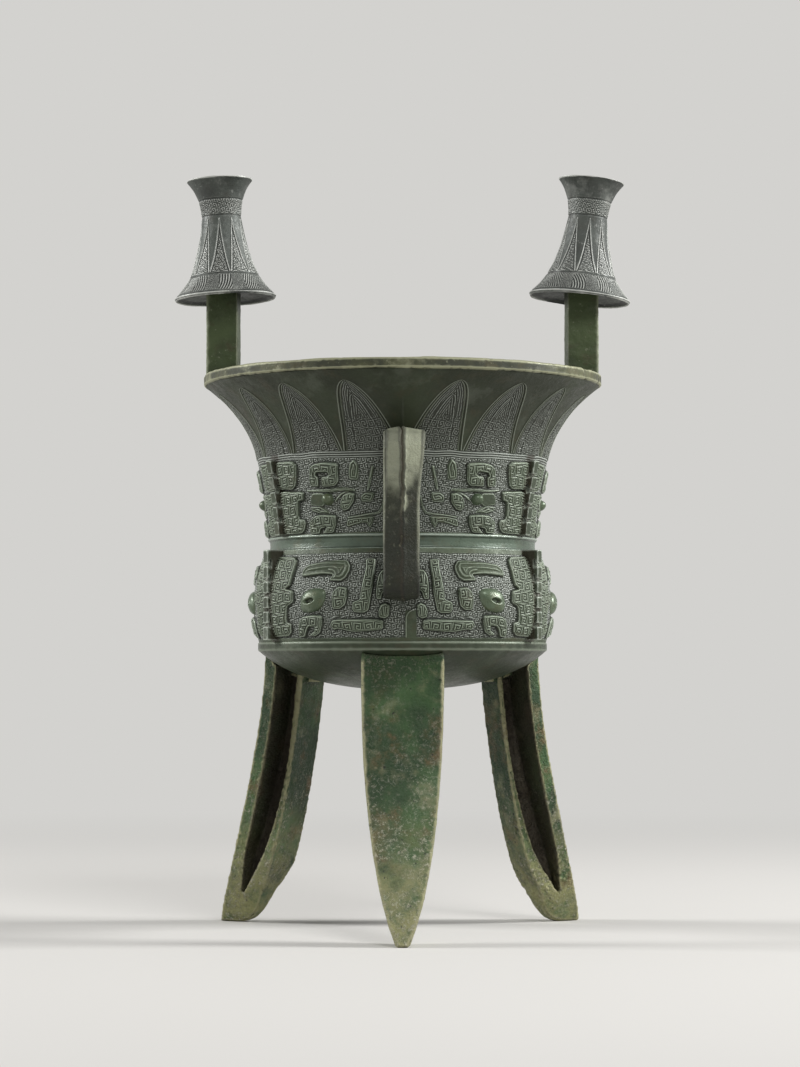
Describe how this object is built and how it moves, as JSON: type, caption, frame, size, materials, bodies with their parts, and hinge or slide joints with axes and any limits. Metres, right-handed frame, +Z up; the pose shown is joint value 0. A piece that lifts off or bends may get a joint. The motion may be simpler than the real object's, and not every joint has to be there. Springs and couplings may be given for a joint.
{
  "type": "tripod wine vessel",
  "caption": "Bronze tripod wine vessel with a flared neck, strap handle, capped posts on the rim, notched flanges and cast relief bands.",
  "frame": {"origin": "middle of the footprint, on the table under the vessel; the vessel's own axis stands 3.6 mm behind it", "axes": "+Z up, -Y to the side with the handle and the front leg, +X to the viewer's right"},
  "size_m": [0.2768, 0.2474, 0.4547],
  "materials": {
    "body_bronze": "dark green patina with pale lines",
    "leg_bronze": "mottled emerald and brown patina, pitted",
    "handle_bronze": "olive brown patina, worn smooth",
    "post_bronze": "olive green patina, smooth",
    "cap_bronze": "pale grey patina with fine cast lines",
    "flange_bronze": "green patina, worn pale on the edges",
    "eye_bronze": "smooth green patina"
  },
  "bodies": {
    "root": {"vessel_body": "body_bronze", "handle": "handle_bronze", "front_leg": "leg_bronze", "right_leg": "leg_bronze", "left_leg": "leg_bronze", "left_post": "post_bronze", "left_cap": "cap_bronze", "right_post": "post_bronze", "right_cap": "cap_bronze", "upper_flange_right_front": "flange_bronze", "lower_flange_right_front": "flange_bronze", "upper_flange_right_back": "flange_bronze", "lower_flange_right_back": "flange_bronze", "upper_flange_back": "flange_bronze", "lower_flange_back": "flange_bronze", "upper_flange_left_back": "flange_bronze", "lower_flange_left_back": "flange_bronze", "upper_flange_left_front": "flange_bronze", "lower_flange_left_front": "flange_bronze", "upper_eye_right_1": "eye_bronze", "lower_eye_right_1": "eye_bronze", "upper_eye_right_2": "eye_bronze", "lower_eye_right_2": "eye_bronze", "upper_eye_back_1": "eye_bronze", "lower_eye_back_1": "eye_bronze", "upper_eye_back_2": "eye_bronze", "lower_eye_back_2": "eye_bronze", "upper_eye_left_1": "eye_bronze", "lower_eye_left_1": "eye_bronze", "upper_eye_left_2": "eye_bronze", "lower_eye_left_2": "eye_bronze"}
  },
  "joints": []
}
